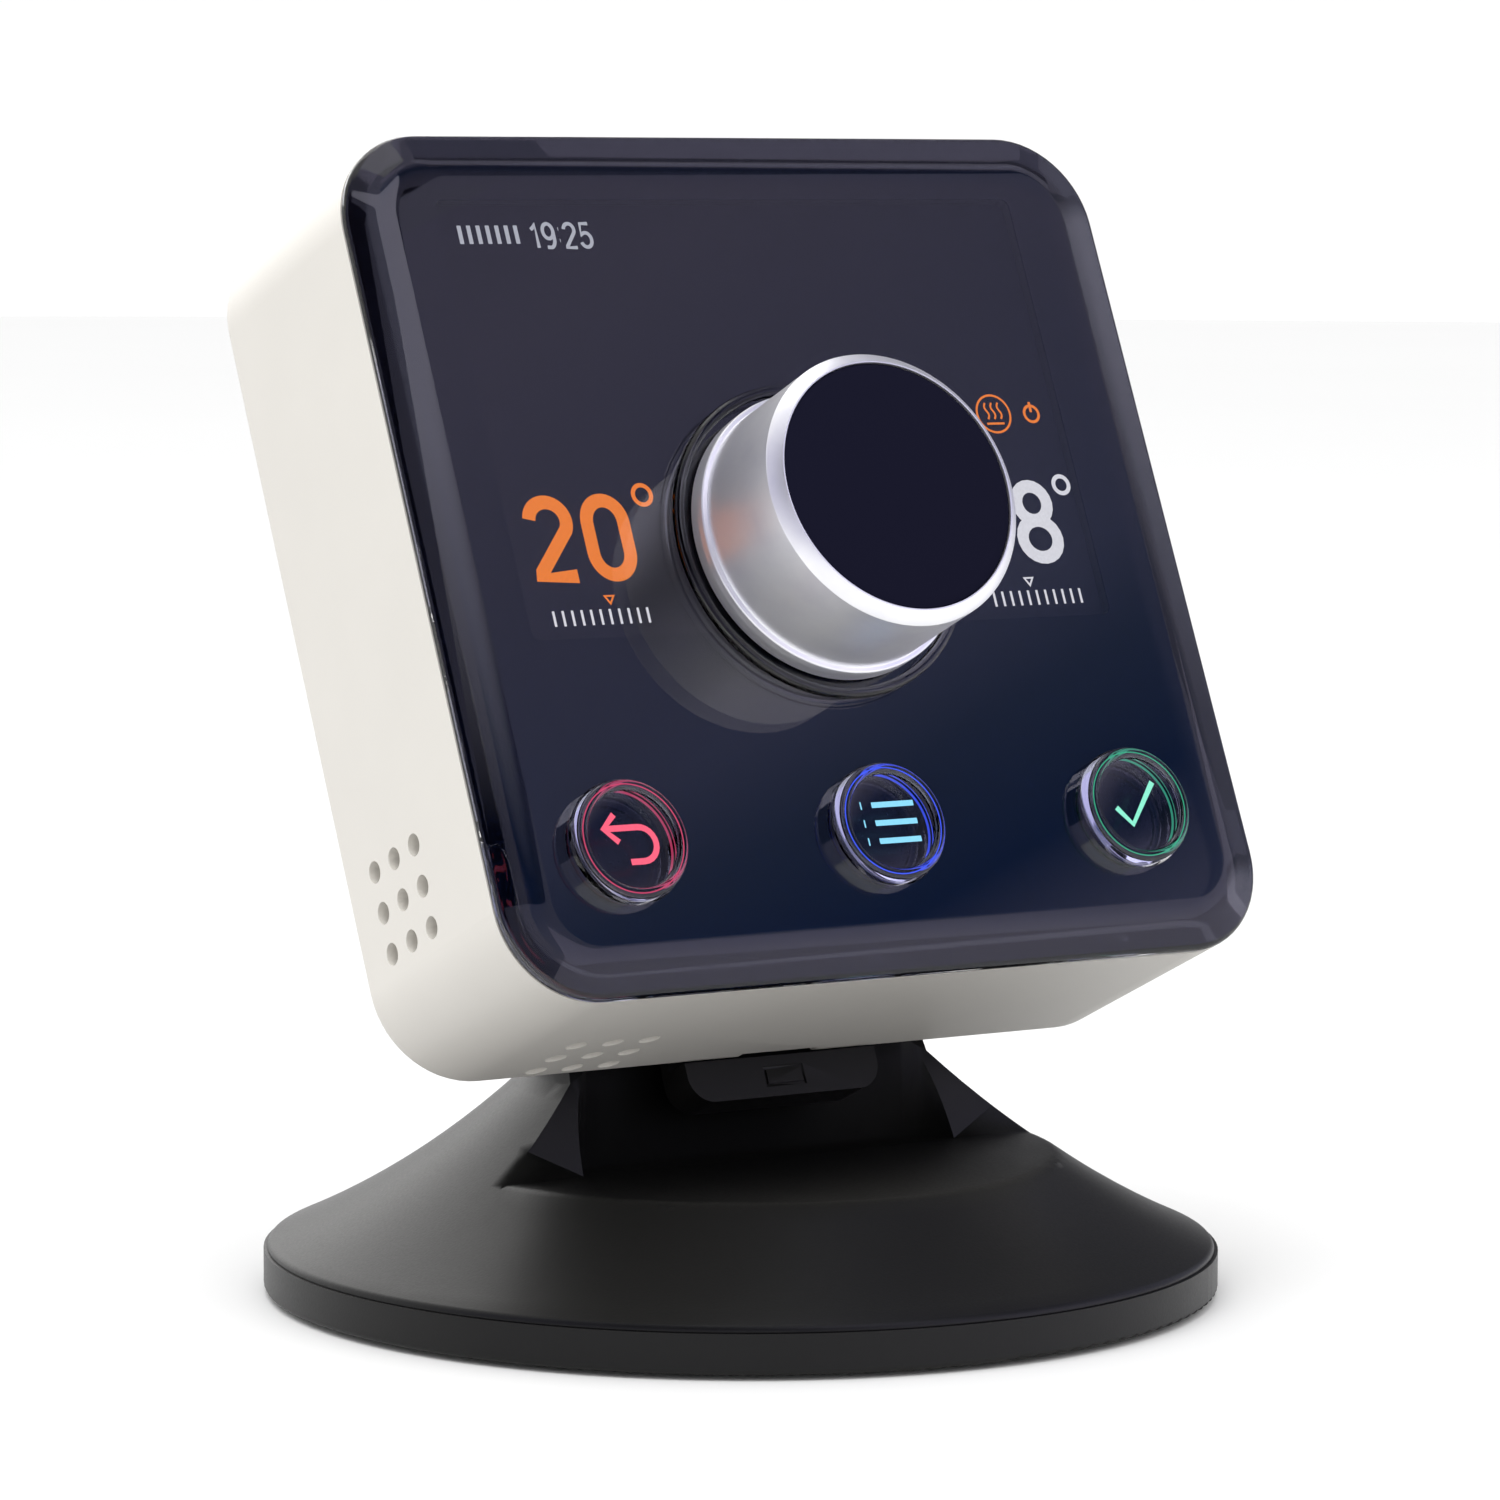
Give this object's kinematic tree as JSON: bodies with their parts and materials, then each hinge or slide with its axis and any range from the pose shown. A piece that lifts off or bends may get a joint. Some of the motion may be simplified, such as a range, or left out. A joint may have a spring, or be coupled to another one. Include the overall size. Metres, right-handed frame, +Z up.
{
  "type": "desk-standing room thermostat",
  "caption": "Square room thermostat with a turning dial and three push buttons, tilted back on a round weighted stand with a lift-off mount plate.",
  "frame": {"origin": "centre of the foot pad's underside, on the surface that the stand rests on", "axes": "+Z up; the display looks towards -Y and leans back; +X is to the right of someone facing the display"},
  "size_m": [0.1048, 0.1048, 0.1258],
  "materials": {
    "stand_black": "fine-textured matt black",
    "plate_black": "smooth matt black",
    "frame_black": "moulded black",
    "warm_white": "smooth satin off-white",
    "clear_lens": "clear polished acrylic",
    "navy_print": "dark navy print",
    "display_glass": "dark display glass",
    "diffuser_white": "milky white",
    "flex_amber": "amber ribbon",
    "board_green": "green solder mask",
    "chip_black": "moulded epoxy",
    "shield_can": "tinned",
    "sensor_epoxy": "dark resin",
    "encoder_zinc": "turned",
    "zinc_steel": "zinc plated",
    "spring_steel": "nickel plated",
    "ballast_steel": "oiled steel",
    "foot_rubber": "soft matt",
    "dial_aluminium": "satin turned with a polished bevel",
    "cap_gloss": "polished dark navy",
    "clear_cap": "clear polished acrylic",
    "back_icon_film": "dark film with a lit red sign",
    "menu_icon_film": "dark film with a lit cyan sign",
    "tick_icon_film": "dark film with a lit green sign",
    "switch_body": "moulded black",
    "cell_wrap": "printed sleeve"
  },
  "bodies": {
    "stand": {"stand_shell": "stand_black", "base_cover": "stand_black", "ballast_weight": "ballast_steel", "ballast_screws": "zinc_steel", "base_screws": "zinc_steel", "foot_pad": "foot_rubber", "mount_plate": "plate_black", "plate_screws": "zinc_steel", "latch_pin": "zinc_steel", "latch_spring": "spring_steel"},
    "latch": {"release_latch": "plate_black"},
    "dial": {"dial_sleeve": "dial_aluminium", "dial_cap": "cap_gloss", "dial_hub": "frame_black", "encoder_shaft": "encoder_zinc"},
    "back_button": {"back_button_cap": "clear_cap", "back_button_icon": "back_icon_film", "back_button_plunger": "diffuser_white"},
    "menu_button": {"menu_button_cap": "clear_cap", "menu_button_icon": "menu_icon_film", "menu_button_plunger": "diffuser_white"},
    "tick_button": {"tick_button_cap": "clear_cap", "tick_button_icon": "tick_icon_film", "tick_button_plunger": "diffuser_white"},
    "head": {"back_switch": "switch_body", "backlight": "diffuser_white", "battery_cell_1": "cell_wrap", "battery_cell_2": "cell_wrap", "battery_cell_3": "cell_wrap", "battery_cell_4": "cell_wrap", "battery_plates": "spring_steel", "battery_springs": "spring_steel", "board_chips": "chip_black", "board_screws": "zinc_steel", "display_flex": "flex_amber", "encoder_nut": "zinc_steel", "front_frame": "frame_black", "front_lens": "clear_lens", "housing_screws": "zinc_steel", "lcd_panel": "display_glass", "lens_mask": "navy_print", "main_board": "board_green", "menu_switch": "switch_body", "radio_module": "shield_can", "rear_housing": "warm_white", "rotary_encoder": "encoder_zinc", "status_leds": "diffuser_white", "temperature_sensor": "sensor_epoxy", "tick_switch": "switch_body"}
  },
  "joints": [
    {"name": "head_pull", "type": "slide", "parent": "stand", "child": "head", "axis": [0, -0.9114, 0.4115], "range_m": [0, 0.04]},
    {"name": "latch_press", "type": "hinge", "parent": "stand", "child": "latch", "pos_m": [0, -0.00223, 0.02883], "axis": [1, 0, 0], "range_deg": [0, 8], "stiffness_Nm_per_rad": 0.05, "springref_deg": -8.59},
    {"name": "dial_turn", "type": "hinge", "parent": "head", "child": "dial", "pos_m": [0, -0.0148, 0.08289], "axis": [0, -0.9114, 0.4115], "continuous": true},
    {"name": "back_press", "type": "slide", "parent": "head", "child": "back_button", "axis": [0, 0.9114, -0.4115], "range_m": [0, 0.0006], "stiffness_N_per_m": 400, "springref_m": -0.0005},
    {"name": "menu_press", "type": "slide", "parent": "head", "child": "menu_button", "axis": [0, 0.9114, -0.4115], "range_m": [0, 0.0006], "stiffness_N_per_m": 400, "springref_m": -0.0005},
    {"name": "tick_press", "type": "slide", "parent": "head", "child": "tick_button", "axis": [0, 0.9114, -0.4115], "range_m": [0, 0.0006], "stiffness_N_per_m": 400, "springref_m": -0.0005}
  ]
}
